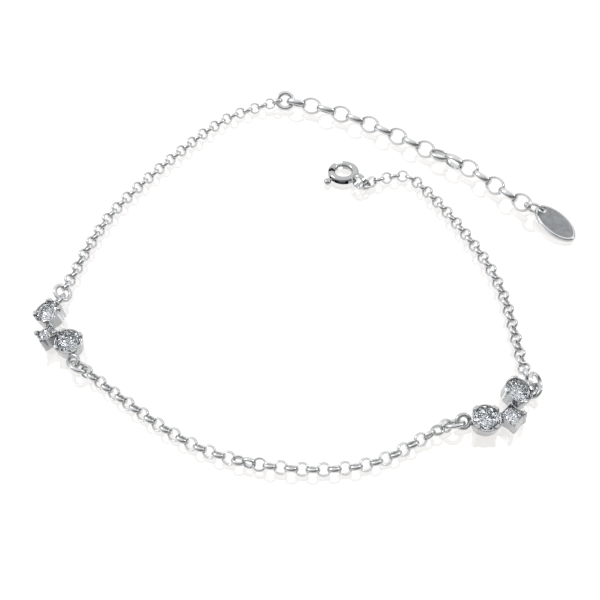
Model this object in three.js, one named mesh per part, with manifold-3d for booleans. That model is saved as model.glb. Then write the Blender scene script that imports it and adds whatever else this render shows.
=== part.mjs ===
// Ankle bracelet in silver: a rolo chain in three stretches, two soldered clusters of cut stones, a spring
// ring clasp, and an extension chain with a tag. It lies open on a surface, as it is put down.
// Millimetres, +Z up, z = 0 the surface it lies on, +X to the right-hand cluster, +Y to the clasp side.

import * as THREE from 'three';
import Module from 'manifold-3d';
import { mergeVertices } from 'three/addons/utils/BufferGeometryUtils.js';

const wasm = await Module();
wasm.setup();

// ---------------------------------------------------------------------------------------------------------
// Driving dimensions
// ---------------------------------------------------------------------------------------------------------

const UP = new THREE.Vector3(0, 0, 1);
const FOOTPRINT_CENTRE = { x: 2.531, y: 10.023 };

// Chain links: closed bands bent from half-round wire, flat side in.
const LINK_SIDES = 10;
const HALF_FACET = Math.PI / LINK_SIDES;
const ROLO = { width: 2.2, wall: 0.3, band: 0.68 };
const OVAL = { width: 3.3, wall: 0.4, band: 1.1 };
const SHOULDER = 0.4;

// Routes are the line of link centres. Links roll a quarter turn each, from firstRoll degrees;
// a twist adds its turn, in degrees, evenly from one link to another.
const CHAINS = [
  {
    name: 'chain_left',
    link: ROLO,
    links: 41,
    firstRoll: 45,
    twists: [],
    route: [
      { x: -4.48, y: 53.12, z: 1.53 },
      { x: -7.90, y: 52.15, z: 1.00 },
      { x: -13.30, y: 49.20, z: 0.94 },
      { x: -17.85, y: 44.75, z: 0.94 },
      { x: -23.55, y: 37.25, z: 0.94 },
      { x: -29.00, y: 29.40, z: 0.94 },
      { x: -33.75, y: 21.10, z: 0.94 },
      { x: -36.95, y: 12.10, z: 0.94 },
      { x: -38.50, y: 5.90, z: 0.95 },
      { x: -39.35, y: 2.95, z: 1.20 },
    ],
  },
  {
    name: 'chain_front',
    link: ROLO,
    links: 41,
    firstRoll: 45,
    twists: [
      { from: 18, to: 22, turn: 90 },
      { from: 37, to: 40, turn: -90 },
    ],
    route: [
      { x: -33.45, y: -15.50, z: 1.15 },
      { x: -30.70, y: -17.90, z: 0.94 },
      { x: -25.60, y: -22.25, z: 0.94 },
      { x: -20.60, y: -26.20, z: 0.94 },
      { x: -15.00, y: -29.80, z: 0.94 },
      { x: -9.20, y: -32.15, z: 1.08 },
      { x: -3.30, y: -33.40, z: 1.18 },
      { x: 2.90, y: -33.75, z: 1.04 },
      { x: 8.90, y: -33.05, z: 0.94 },
      { x: 13.20, y: -31.45, z: 0.95 },
      { x: 18.20, y: -28.35, z: 1.16 },
      { x: 21.95, y: -25.95, z: 1.15 },
    ],
  },
  {
    name: 'chain_right',
    link: ROLO,
    links: 39,
    firstRoll: 5,
    twists: [
      { from: 0, to: 2, turn: -50 },
      { from: 36, to: 38, turn: -35 },
    ],
    route: [
      { x: 11.98, y: 28.42, z: 1.22 },
      { x: 13.15, y: 29.42, z: 1.12 },
      { x: 16.05, y: 30.72, z: 0.98 },
      { x: 18.35, y: 31.35, z: 0.94 },
      { x: 20.50, y: 30.70, z: 0.97 },
      { x: 22.40, y: 28.30, z: 0.94 },
      { x: 26.00, y: 22.20, z: 0.94 },
      { x: 29.70, y: 14.50, z: 0.94 },
      { x: 32.60, y: 7.00, z: 0.94 },
      { x: 34.20, y: -0.60, z: 0.94 },
      { x: 34.75, y: -8.00, z: 0.94 },
      { x: 35.10, y: -13.30, z: 0.94 },
      { x: 35.35, y: -16.35, z: 1.30 },
    ],
  },
  {
    name: 'extension_chain',
    link: OVAL,
    links: 17,
    firstRoll: 135,
    twists: [
      { from: 9, to: 12, turn: 90 },
    ],
    route: [
      { x: -0.71, y: 52.81, z: 1.45 },
      { x: 2.80, y: 51.55, z: 1.50 },
      { x: 8.70, y: 48.80, z: 1.48 },
      { x: 14.30, y: 45.40, z: 1.48 },
      { x: 19.60, y: 41.60, z: 1.48 },
      { x: 24.30, y: 38.00, z: 1.52 },
      { x: 29.10, y: 34.40, z: 1.66 },
      { x: 31.60, y: 32.50, z: 1.66 },
      { x: 33.50, y: 30.60, z: 1.48 },
      { x: 37.70, y: 25.90, z: 1.48 },
      { x: 40.00, y: 23.30, z: 1.62 },
    ],
  },
];

// Round-wire rings. The plane's normal leans from the vertical by lean, towards the compass angle.
const RINGS = [
  { name: 'end_ring', x: -2.94, y: 53.22, z: 1.66, outer: 3.95, wire: 0.92, lean: 41, towards: -88 },
  { name: 'left_back_ring', x: -39.68, y: 1.28, z: 1.29, outer: 3.50, wire: 0.72, lean: 37, towards: -12 },
  { name: 'left_front_ring', x: -34.77, y: -14.66, z: 1.26, outer: 3.50, wire: 0.72, lean: 35, towards: 48 },
  { name: 'right_front_ring', x: 23.22, y: -25.71, z: 1.26, outer: 3.50, wire: 0.72, lean: 40, towards: 103 },
  { name: 'right_back_ring', x: 36.56, y: -17.84, z: 1.40, outer: 3.50, wire: 0.70, lean: 50, towards: -16 },
  { name: 'tag_ring', x: 41.97, y: 21.72, z: 1.75, outer: 3.80, wire: 0.64, lean: 65, towards: 64 },
];
const RING_SIDES = 10;
const WIRE_SIDES = 5;

// Stone cups. Heights are from the stone's girdle down (negative) and up; the cup stands on its base.
const CUP = { height: 2.05, rim: 0.08, rimWall: 0.2, taper: 0.14, baseWall: 0.45 };
const CLAW = {
  halfWidth: 0.32, flank: 0.45, foot: 0.1,
  out: 0.24, shoulder: 0.22, tip: 0.5, reach: 0.45, under: 0.3,
};
const STONE = { gap: 0.12, square: 0.745, table: 0.58, crown: 0.42, pavilion: 0.71 };

// One row for each cup of a cluster, placed from the square cup. Radius is to the rim, or to a corner.
// Turn is the stone's, from the first claw. The round cups lean alike in both clusters, mirrored;
// how the square one leans is in its cluster's row.
const CUPS = [
  { part: 'front', sides: 8, radius: 2.25, x: -3.95, y: -0.72, lean: 13, towards: -90, clawAt: 45, turn: 22.5 },
  { part: 'square', sides: 4, radius: 2.15, x: 0.00, y: 0.00, clawAt: 0, turn: 0 },
  { part: 'back', sides: 8, radius: 2.32, x: 1.62, y: 4.50, lean: 16, towards: -10, clawAt: 15, turn: 22.5 },
];
const CLUSTERS = [
  {
    name: 'right',
    x: 31.90, y: -24.80, turn: 0, mirror: 1, square: { lean: 8, towards: 180 },
    loops: [
      { cup: 'front', x: 24.62, y: -25.25, z: 1.30, lean: 45, towards: -75 },
      { cup: 'back', x: 36.25, y: -19.40, z: 1.30, lean: 45, towards: 180 },
    ],
  },
  {
    name: 'left',
    x: -40.56, y: -8.82, turn: -13, mirror: -1, square: { lean: 18, towards: 148 },
    loops: [
      { cup: 'front', x: -35.80, y: -13.60, z: 1.30, lean: 45, towards: -133 },
      { cup: 'back', x: -39.92, y: -0.27, z: 1.30, lean: 45, towards: 162 },
    ],
  },
];
const LOOP = { outer: 2.7, wire: 0.7 };
const SOLDER = { radius: 0.55, sunk: 0.75 };

// Spring ring clasp: a hollow ring lying flat. Compass angles are round its own centre.
const CLASP = { x: 8.1, y: 32.55, z: 0.70, major: 2.22, tube: 0.73, bore: 0.48 };
const CLASP_GAP = { from: 92, to: 128 };
const CLASP_BORE = { from: 64, to: 302 };
const CLASP_SLOT = { from: 207, to: 287, height: 0.72 };
const CLASP_HOLE = { at: 177, radius: 0.52, bottom: 0.2 };
const CLASP_LOOP = { at: 310, turn: 320, reach: 4.37, z: 1.53, outer: 3.0, wall: 0.34, band: 1.0, neck: 0.4 };
const BOLT = { from: 75, to: 229, radius: 0.34, sides: 6 };
const KNOB = { at: 219.5, reach: 3.9, radius: 0.68, flat: 0.8, stem: 0.24 };

// Tag: a plate with pointed ends, its near end lifted by the ring through its hole.
const TAG = { x: 45.3, y: 18.6, turn: -55.5, length: 9.4, width: 5.15, thickness: 0.85, rim: 0.22, bow: 0.54 };
const TAG_HOLE = { fromCentre: 3.45, radius: 0.76 };
const TAG_LIFT = { angle: 6.5, rest: 0.02 };

// ---------------------------------------------------------------------------------------------------------
// Meshes and solids
// ---------------------------------------------------------------------------------------------------------

function withMergedVertices(geometry) {
  const bare = geometry.clone();
  bare.deleteAttribute('normal');
  bare.deleteAttribute('uv');
  return mergeVertices(bare, 1e-5);
}

function toSolid(geometry) {
  const merged = withMergedVertices(geometry);
  return new wasm.Manifold(new wasm.Mesh({
    numProp: 3,
    vertProperties: new Float32Array(merged.attributes.position.array),
    triVerts: new Uint32Array(merged.index.array),
  }));
}

function toGeometry(solid) {
  const mesh = solid.getMesh();
  const geometry = new THREE.BufferGeometry();
  geometry.setAttribute('position', new THREE.BufferAttribute(mesh.vertProperties, 3));
  geometry.setIndex(new THREE.BufferAttribute(mesh.triVerts, 1));
  return geometry;
}

function joined(solids) {
  return solids.reduce((whole, piece) => whole.add(piece));
}

function metalMesh(name, geometry, colour, roughness) {
  const flat = geometry.index ? geometry.toNonIndexed() : geometry;
  flat.computeVertexNormals();
  const material = new THREE.MeshStandardMaterial({ color: colour, roughness, metalness: 1 });
  const mesh = new THREE.Mesh(flat, material);
  mesh.name = name;
  return mesh;
}

function stoneMesh(name, geometry) {
  const mesh = metalMesh(name, geometry, 0xf4f7fa, 0.02);
  mesh.material.metalness = 0;
  return mesh;
}

function radians(degrees) {
  return THREE.MathUtils.degToRad(degrees);
}

function compass(degrees) {
  return new THREE.Vector3(Math.cos(radians(degrees)), Math.sin(radians(degrees)), 0);
}

// Turns +Z until it leans from the vertical by lean, towards the compass angle.
function leaned(lean, towards) {
  const axis = compass(towards + 90);
  return new THREE.Matrix4().makeRotationAxis(axis, radians(lean));
}

function placed(geometry, position, matrix) {
  const moved = geometry.clone().applyMatrix4(matrix);
  return moved.translate(position.x, position.y, position.z);
}

// A closed outline of { r, z } points turned about +Z.
function turned(outline, sides) {
  const points = [...outline, outline[0]].map((p) => new THREE.Vector2(p.r, p.z));
  const geometry = new THREE.LatheGeometry(points, sides);
  return geometry.rotateX(Math.PI / 2);
}

function wireRing(outer, wire) {
  const major = (outer - wire) / 2;
  return new THREE.TorusGeometry(major, wire / 2, WIRE_SIDES, RING_SIDES);
}

// ---------------------------------------------------------------------------------------------------------
// Chains
// ---------------------------------------------------------------------------------------------------------

function rollAt(chain, index) {
  let roll = chain.firstRoll + 90 * Math.floor(index);
  for (const twist of chain.twists) {
    const share = (index - twist.from) / (twist.to - twist.from);
    roll += twist.turn * THREE.MathUtils.clamp(share, 0, 1);
  }
  return radians(roll);
}

// The link's centre, its long axis along the chain, and its other two axes at the given roll.
function frameAt(chain, curve, index) {
  const share = THREE.MathUtils.clamp(index / (chain.links - 1), 0, 1);
  const centre = curve.getPointAt(share);
  const along = curve.getTangentAt(share);
  const side = new THREE.Vector3().crossVectors(along, UP).normalize();
  const lift = new THREE.Vector3().crossVectors(side, along);
  const roll = rollAt(chain, index);
  const normal = lift.multiplyScalar(Math.cos(roll)).addScaledVector(side, Math.sin(roll));
  const across = new THREE.Vector3().crossVectors(normal, along);
  return { centre, along, across, normal };
}

function pointIn(frame, along, across, normal) {
  return frame.centre.clone()
    .addScaledVector(frame.along, along)
    .addScaledVector(frame.across, across)
    .addScaledVector(frame.normal, normal);
}

// The square where a link bears on the next one. Both links share its four corners, which makes the
// chain one closed body. A corner is keyed by its sides of the first link's across and normal axes.
function bearing(chain, curve, index, half, addPoint) {
  const frame = frameAt(chain, curve, index + 0.5);
  const corners = {};
  for (const across of [-1, 1]) {
    for (const normal of [-1, 1]) {
      corners[`${across},${normal}`] = addPoint(pointIn(frame, 0, across * half, normal * half));
    }
  }
  return corners;
}

// The wire's section: how far out from the inner face, how far along the link's normal.
function wireSection(link, half) {
  return [
    { out: 0, normal: -half },
    { out: 0, normal: half },
    { out: link.wall * SHOULDER, normal: link.band / 2 },
    { out: link.wall, normal: 0 },
    { out: link.wall * SHOULDER, normal: -link.band / 2 },
  ];
}

function chainGeometry(chain) {
  const curve = new THREE.CatmullRomCurve3(chain.route.map((p) => new THREE.Vector3(p.x, p.y, p.z)));
  curve.arcLengthDivisions = 2000;
  const pitch = curve.getLength() / (chain.links - 1);
  const innerLong = pitch / 2 / Math.cos(HALF_FACET);
  const innerWide = chain.link.width / 2 - chain.link.wall;
  const half = innerWide * Math.sin(HALF_FACET);
  const section = wireSection(chain.link, half);

  const positions = [];
  const triangles = [];
  const addPoint = (point) => positions.push(point.x, point.y, point.z) / 3 - 1;

  let before = null;
  for (let index = 0; index < chain.links; index += 1) {
    const after = index < chain.links - 1 ? bearing(chain, curve, index, half, addPoint) : null;
    addLink(frameAt(chain, curve, index), { innerLong, innerWide, section, before, after });
    before = after;
  }

  function addLink(frame, link) {
    const rows = [];
    for (let side = 0; side < LINK_SIDES; side += 1) {
      const angle = (2 * side - 1) * HALF_FACET;
      rows.push(link.section.map((corner, place) => shared(link, side, place, angle)
        ?? addPoint(pointIn(
          frame,
          (link.innerLong + corner.out) * Math.cos(angle),
          (link.innerWide + corner.out) * Math.sin(angle),
          corner.normal,
        ))));
    }
    rows.forEach((row, side) => addFacets(row, rows[(side + 1) % LINK_SIDES], isOpen(link, side)));
  }

  // A corner that belongs to the bearing on the next link or on the one before it.
  function shared(link, side, place, angle) {
    const across = Math.sign(Math.sin(angle));
    const normal = place === 0 ? -1 : 1;
    if (place > 1) return undefined;
    if (side < 2) return link.after?.[`${across},${normal}`];
    if (side === LINK_SIDES / 2 || side === LINK_SIDES / 2 + 1) return link.before?.[`${-normal},${across}`];
    return undefined;
  }

  function isOpen(link, side) {
    return (side === 0 && link.after !== null) || (side === LINK_SIDES / 2 && link.before !== null);
  }

  function addFacets(row, next, open) {
    row.forEach((corner, place) => {
      const following = (place + 1) % row.length;
      if (open && place === 0) return;
      triangles.push(corner, row[following], next[following]);
      triangles.push(corner, next[following], next[place]);
    });
  }

  const geometry = new THREE.BufferGeometry();
  geometry.setAttribute('position', new THREE.Float32BufferAttribute(positions, 3));
  geometry.setIndex(triangles);
  return geometry;
}

// ---------------------------------------------------------------------------------------------------------
// Clusters of stones
// ---------------------------------------------------------------------------------------------------------

function cupLean(cluster, cup) {
  if (cup.part === 'square') return cluster.square;
  return { lean: cup.lean, towards: cluster.mirror === 1 ? cup.towards : 180 - cup.towards };
}

// Where a cup's girdle centre is, and how the cup leans and turns.
function cupPlace(cluster, cup) {
  const turn = radians(cluster.turn);
  const local = new THREE.Vector3(cluster.mirror * cup.x, cup.y, 0).applyAxisAngle(UP, turn);
  const { lean, towards } = cupLean(cluster, cup);
  const base = cup.radius - CUP.taper + CLAW.foot;
  const height = CUP.height * Math.cos(radians(lean)) + base * Math.sin(radians(lean));
  const position = new THREE.Vector3(cluster.x + local.x, cluster.y + local.y, height);
  const spin = new THREE.Matrix4().makeRotationZ(turn);
  return { position, matrix: leaned(lean, towards).multiply(spin) };
}

// The cup's wall from the outer foot over the rim to the inner foot, at its rim radius in this direction.
function wallOutline(rim) {
  const foot = rim - CUP.taper;
  return [
    { r: foot, z: -CUP.height },
    { r: rim, z: CUP.rim },
    { r: rim - CUP.rimWall * 0.4, z: CUP.rim },
    { r: rim - CUP.rimWall * 0.7, z: CUP.rim },
    { r: rim - CUP.rimWall, z: CUP.rim },
    { r: foot - CUP.baseWall, z: -CUP.height },
  ];
}

// The same where a claw stands: a rib outside, and a tip bent in over the stone's edge.
function clawOutline(rim) {
  const foot = rim - CUP.taper;
  return [
    { r: foot + CLAW.foot, z: -CUP.height },
    { r: rim + CLAW.out, z: CLAW.shoulder },
    { r: rim - CLAW.reach * 0.3, z: CLAW.tip },
    { r: rim - CLAW.reach, z: CLAW.under },
    { r: rim - CUP.rimWall, z: CUP.rim - 0.02 },
    { r: foot - CUP.baseWall, z: -CUP.height },
  ];
}

// Rim radius of the cup in a direction off one of its claws; a square's claws are on its corners.
function rimRadius(cup, offClaw) {
  if (cup.sides !== 4) return cup.radius;
  return (cup.radius * Math.SQRT1_2) / Math.cos(Math.PI / 4 - Math.abs(offClaw));
}

// Four claws, each with a flank on both sides, and straight or round wall between them.
function cupGeometry(cup) {
  const claw = CLAW.halfWidth / cup.radius;
  const flank = (CLAW.halfWidth + CLAW.flank) / cup.radius;
  const outlines = [];
  for (let corner = 0; corner < 4; corner += 1) {
    const middle = radians(cup.clawAt + 90 * corner);
    outlines.push({ angle: middle - flank, points: wallOutline(rimRadius(cup, flank)) });
    outlines.push({ angle: middle - claw, points: clawOutline(rimRadius(cup, claw)) });
    outlines.push({ angle: middle + claw, points: clawOutline(rimRadius(cup, claw)) });
    outlines.push({ angle: middle + flank, points: wallOutline(rimRadius(cup, flank)) });
    outlines.push({ angle: middle + Math.PI / 4, points: wallOutline(rimRadius(cup, Math.PI / 4)) });
  }
  const points = outlines.flatMap(({ angle, points: outline }) => outline.map((p) => (
    new THREE.Vector3(p.r * Math.cos(angle), p.r * Math.sin(angle), p.z))));
  const geometry = new THREE.BufferGeometry().setFromPoints(points);
  return geometry.setIndex(closedGrid(outlines.length, outlines[0].points.length));
}

// Triangles of a grid of rings that closes on itself both ways.
function closedGrid(rows, columns) {
  const triangles = [];
  for (let row = 0; row < rows; row += 1) {
    const here = row * columns;
    const there = ((row + 1) % rows) * columns;
    for (let column = 0; column < columns; column += 1) {
      const next = (column + 1) % columns;
      triangles.push(here + column, there + column, there + next);
      triangles.push(here + column, there + next, here + next);
    }
  }
  return triangles;
}

function cupSolid(cluster, cup) {
  const { position, matrix } = cupPlace(cluster, cup);
  return toSolid(placed(cupGeometry(cup), position, matrix));
}

// A short bar of solder between two points.
function solder(from, to, radius) {
  const bar = new THREE.CylinderGeometry(radius, radius, from.distanceTo(to), 5);
  const direction = to.clone().sub(from).normalize();
  bar.applyQuaternion(new THREE.Quaternion().setFromUnitVectors(new THREE.Vector3(0, 1, 0), direction));
  const middle = from.clone().lerp(to, 0.5);
  return toSolid(bar.translate(middle.x, middle.y, middle.z));
}

function cupNamed(part) {
  return CUPS.find((cup) => cup.part === part);
}

// From inside one cup's wall to inside the other's.
function solderBetween(cluster, cup, other) {
  const a = cupPlace(cluster, cup).position.setZ(1.1);
  const b = cupPlace(cluster, other).position.setZ(1.1);
  const way = b.clone().sub(a).normalize();
  const from = a.clone().addScaledVector(way, cup.radius - SOLDER.sunk);
  const to = b.clone().addScaledVector(way, SOLDER.sunk - other.radius);
  return solder(from, to, SOLDER.radius);
}

// A loop and the solder that holds its wire to the cup's wall.
function loopSolids(cluster, loop) {
  const centre = new THREE.Vector3(loop.x, loop.y, loop.z);
  const tilt = leaned(loop.lean, loop.towards);
  const ring = toSolid(placed(wireRing(LOOP.outer, LOOP.wire), centre, tilt));
  const cup = cupNamed(loop.cup);
  const middle = cupPlace(cluster, cup).position.setZ(loop.z);
  const way = middle.clone().sub(centre).normalize();
  const inPlane = way.clone().projectOnPlane(UP.clone().applyMatrix4(tilt)).normalize();
  const from = centre.clone().addScaledVector(inPlane, (LOOP.outer - LOOP.wire) / 2);
  const to = middle.clone().addScaledVector(way, 0.5 - cup.radius);
  return [ring, solder(from, to, LOOP.wire / 2)];
}

function settingMesh(cluster) {
  const [front, square, back] = CUPS;
  const solids = CUPS.map((cup) => cupSolid(cluster, cup));
  solids.push(solderBetween(cluster, front, square), solderBetween(cluster, square, back));
  cluster.loops.forEach((loop) => solids.push(...loopSolids(cluster, loop)));
  return metalMesh(`${cluster.name}_setting`, toGeometry(joined(solids)), 0xd9dcdf, 0.15);
}

// A cut stone: a flat table, crown facets round it, and a pointed pavilion below the girdle.
function cutStone(radius, sides) {
  const step = (2 * Math.PI) / sides;
  const ring = (r, z) => Array.from({ length: sides }, (_, i) => new THREE.Vector3(
    r * Math.cos(i * step),
    r * Math.sin(i * step),
    z,
  ));
  const points = [
    ...ring(radius * STONE.table, STONE.crown),
    ...ring(radius, 0),
    new THREE.Vector3(0, 0, -radius * STONE.pavilion),
  ];
  const triangles = [];
  for (let i = 0; i < sides; i += 1) {
    const next = (i + 1) % sides;
    if (i > 0 && i < sides - 1) triangles.push(0, i, next);
    triangles.push(i, sides + i, sides + next);
    triangles.push(i, sides + next, next);
    triangles.push(sides + i, 2 * sides, sides + next);
  }
  const geometry = new THREE.BufferGeometry().setFromPoints(points);
  geometry.setIndex(triangles);
  return geometry;
}

function stoneMeshes(cluster) {
  return CUPS.map((cup) => {
    const { position, matrix } = cupPlace(cluster, cup);
    const radius = cup.sides === 4 ? cup.radius * STONE.square : cup.radius - CUP.rimWall - STONE.gap;
    const stone = cutStone(radius, cup.sides).rotateZ(radians(cup.clawAt + cup.turn));
    const geometry = placed(stone, position, matrix);
    return stoneMesh(`${cluster.name}_${cup.part}_stone`, geometry);
  });
}

// ---------------------------------------------------------------------------------------------------------
// Clasp
// ---------------------------------------------------------------------------------------------------------

class Arc extends THREE.Curve {
  constructor(radius, from, to) {
    super();
    this.radius = radius;
    this.from = from;
    this.to = to;
  }

  getPoint(share, target = new THREE.Vector3()) {
    const angle = radians(THREE.MathUtils.lerp(this.from, this.to, share));
    return target.set(this.radius * Math.cos(angle), this.radius * Math.sin(angle), 0);
  }
}

// A section swept round part of a circle about the clasp's centre; a tube or a flat band.
function sweptArc(section, radius, from, to, steps) {
  const path = new Arc(radius, from, to);
  return new THREE.ExtrudeGeometry(section, { steps, bevelEnabled: false, extrudePath: path });
}

function roundSection(radius, sides) {
  const corners = Array.from({ length: sides }, (_, i) => {
    const angle = ((i + 0.5) * 2 * Math.PI) / sides;
    return new THREE.Vector2(radius * Math.cos(angle), radius * Math.sin(angle));
  });
  return new THREE.Shape(corners);
}

function boxSection(width, height) {
  return new THREE.Shape([
    new THREE.Vector2(-width / 2, -height / 2),
    new THREE.Vector2(width / 2, -height / 2),
    new THREE.Vector2(width / 2, height / 2),
    new THREE.Vector2(-width / 2, height / 2),
  ]);
}

function arcSolid(section, radius, from, to, steps) {
  return toSolid(sweptArc(section, radius, from, to, steps));
}

function claspBody() {
  const tube = arcSolid(roundSection(CLASP.tube, 8), CLASP.major, CLASP_GAP.to, CLASP_GAP.from + 360, 12);
  const bore = arcSolid(roundSection(CLASP.bore, 6), CLASP.major, CLASP_BORE.from, CLASP_BORE.to, 12);
  const slotBox = boxSection(CLASP_SLOT.height, 0.9);
  const slot = arcSolid(slotBox, CLASP.major + CLASP.tube, CLASP_SLOT.from, CLASP_SLOT.to, 4);
  const drill = new THREE.CylinderGeometry(CLASP_HOLE.radius, CLASP_HOLE.radius, 1, 8).rotateX(Math.PI / 2);
  const drillAt = compass(CLASP_HOLE.at).multiplyScalar(CLASP.major);
  drill.translate(drillAt.x, drillAt.y, CLASP_HOLE.bottom + 0.5);
  return tube.subtract(bore).subtract(slot).subtract(toSolid(drill));
}

// The clasp's own loop stands on edge: a wide flat band, held to the ring's rim by a short neck of solder.
function claspLoop() {
  const half = CLASP_LOOP.band / 2;
  const rim = CLASP_LOOP.outer / 2;
  const band = turned([
    { r: rim - CLASP_LOOP.wall, z: -half },
    { r: rim, z: -half },
    { r: rim, z: half },
    { r: rim - CLASP_LOOP.wall, z: half },
  ], RING_SIDES);
  const centre = compass(CLASP_LOOP.at).multiplyScalar(CLASP_LOOP.reach).setZ(CLASP_LOOP.z - CLASP.z);
  const nearSide = compass(CLASP_LOOP.turn).multiplyScalar(CLASP_LOOP.wall / 2 - rim).add(centre);
  const onRing = compass(CLASP_LOOP.at).multiplyScalar(CLASP.major + CLASP.bore);
  const neck = solder(onRing, nearSide, CLASP_LOOP.neck);
  return toSolid(placed(band, centre, leaned(90, CLASP_LOOP.turn + 90))).add(neck);
}

function claspMesh() {
  const solid = claspBody().add(claspLoop()).translate([CLASP.x, CLASP.y, CLASP.z]);
  return metalMesh('clasp_body', toGeometry(solid), 0xd4d7da, 0.12);
}

function triggerMesh() {
  const bolt = arcSolid(roundSection(BOLT.radius, BOLT.sides), CLASP.major, BOLT.from, BOLT.to, 8);
  const out = compass(KNOB.at);
  const inner = out.clone().multiplyScalar(CLASP.major);
  const outer = out.clone().multiplyScalar(KNOB.reach);
  const knob = new THREE.SphereGeometry(KNOB.radius, 8, 4).rotateX(Math.PI / 2);
  knob.scale(1, 1, KNOB.flat).translate(outer.x, outer.y, 0);
  const whole = joined([bolt, solder(inner, outer, KNOB.stem), toSolid(knob)]);
  const solid = whole.translate([CLASP.x, CLASP.y, CLASP.z]);
  return metalMesh('clasp_trigger', toGeometry(solid), 0xcfd3d6, 0.12);
}

// ---------------------------------------------------------------------------------------------------------
// Tag and rings
// ---------------------------------------------------------------------------------------------------------

// Half the width at a share of the length from the middle: two arcs that meet in blunt points.
function tagHalfWidth(share) {
  return (TAG.width / 2) * Math.pow(Math.max(0, 1 - share * share), TAG.bow);
}

function tagOutline() {
  const shares = [-0.95, -0.76, -0.4, 0, 0.4, 0.76, 0.95];
  const upper = shares.map((share) => new THREE.Vector2((share * TAG.length) / 2, tagHalfWidth(share)));
  const lower = upper.slice().reverse().map((point) => new THREE.Vector2(point.x, -point.y));
  const tip = new THREE.Vector2(TAG.length / 2, 0);
  return new THREE.Shape([tip.clone().negate(), ...upper, tip, ...lower]);
}

function tagMesh() {
  const plate = new THREE.ExtrudeGeometry(tagOutline(), {
    depth: TAG.thickness - 2 * TAG.rim,
    bevelEnabled: true,
    bevelThickness: TAG.rim,
    bevelSize: TAG.rim,
    bevelOffset: -TAG.rim,
    bevelSegments: 1,
  });
  plate.translate(0, 0, TAG.rim);
  const hole = new THREE.CylinderGeometry(TAG_HOLE.radius, TAG_HOLE.radius, 3, 8).rotateX(Math.PI / 2);
  hole.translate(-TAG_HOLE.fromCentre, 0, 0);
  const geometry = toGeometry(toSolid(plate).subtract(toSolid(hole)));
  geometry.translate(-TAG.length / 2, 0, 0);
  geometry.rotateY(radians(TAG_LIFT.angle));
  geometry.rotateZ(radians(TAG.turn));
  const tip = compass(TAG.turn).multiplyScalar(TAG.length / 2);
  geometry.translate(TAG.x + tip.x, TAG.y + tip.y, TAG_LIFT.rest);
  return metalMesh('tag', geometry, 0xa9adb1, 0.35);
}

function ringMesh(ring) {
  const geometry = placed(wireRing(ring.outer, ring.wire), ring, leaned(ring.lean, ring.towards));
  return metalMesh(ring.name, geometry, 0xd9dcdf, 0.15);
}

// ---------------------------------------------------------------------------------------------------------
// The bracelet
// ---------------------------------------------------------------------------------------------------------

const bracelet = new THREE.Group();
CHAINS.forEach((chain) => bracelet.add(metalMesh(chain.name, chainGeometry(chain), 0xdcdfe2, 0.15)));
CLUSTERS.forEach((cluster) => bracelet.add(settingMesh(cluster), ...stoneMeshes(cluster)));
RINGS.forEach((ring) => bracelet.add(ringMesh(ring)));
bracelet.add(claspMesh(), triggerMesh(), tagMesh());
bracelet.position.set(-FOOTPRINT_CENTRE.x, -FOOTPRINT_CENTRE.y, 0);

export default bracelet;
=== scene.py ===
import math

import bmesh
import bpy
import numpy as np
from mathutils import Matrix, Vector


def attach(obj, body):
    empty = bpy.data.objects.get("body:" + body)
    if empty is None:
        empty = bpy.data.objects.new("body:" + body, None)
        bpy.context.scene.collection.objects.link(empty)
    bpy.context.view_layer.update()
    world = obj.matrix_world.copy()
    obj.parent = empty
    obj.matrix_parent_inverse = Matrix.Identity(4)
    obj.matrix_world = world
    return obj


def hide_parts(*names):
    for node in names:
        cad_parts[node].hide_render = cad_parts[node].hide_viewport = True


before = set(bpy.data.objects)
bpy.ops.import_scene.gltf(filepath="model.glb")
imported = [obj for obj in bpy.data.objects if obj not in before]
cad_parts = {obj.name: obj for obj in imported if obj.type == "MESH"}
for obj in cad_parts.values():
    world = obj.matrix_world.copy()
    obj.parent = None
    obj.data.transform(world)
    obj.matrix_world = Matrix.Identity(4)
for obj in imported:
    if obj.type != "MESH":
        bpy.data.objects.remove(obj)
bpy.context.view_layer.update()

# ----------------------------------------------------------------------------------------------------
# Driving dimensions, in millimetres; the routes and places repeat those of the solids.
# ----------------------------------------------------------------------------------------------------

MM = 0.001
FOOTPRINT_CENTRE = (2.531, 10.023)

# The links: width over all, and the thickness and the breadth of the half-round band.
ROLO = {"width": 2.2, "wall": 0.3, "band": 0.68}
OVAL = {"width": 3.3, "wall": 0.4, "band": 1.1}
# A link of the solids has 10 sides, and this is the half angle of the flat on which the next link bears.
HALF_FACET = math.pi / 10

# A chain's route, its first link's roll about it, and twists: from and to which link, and through how much.

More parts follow.
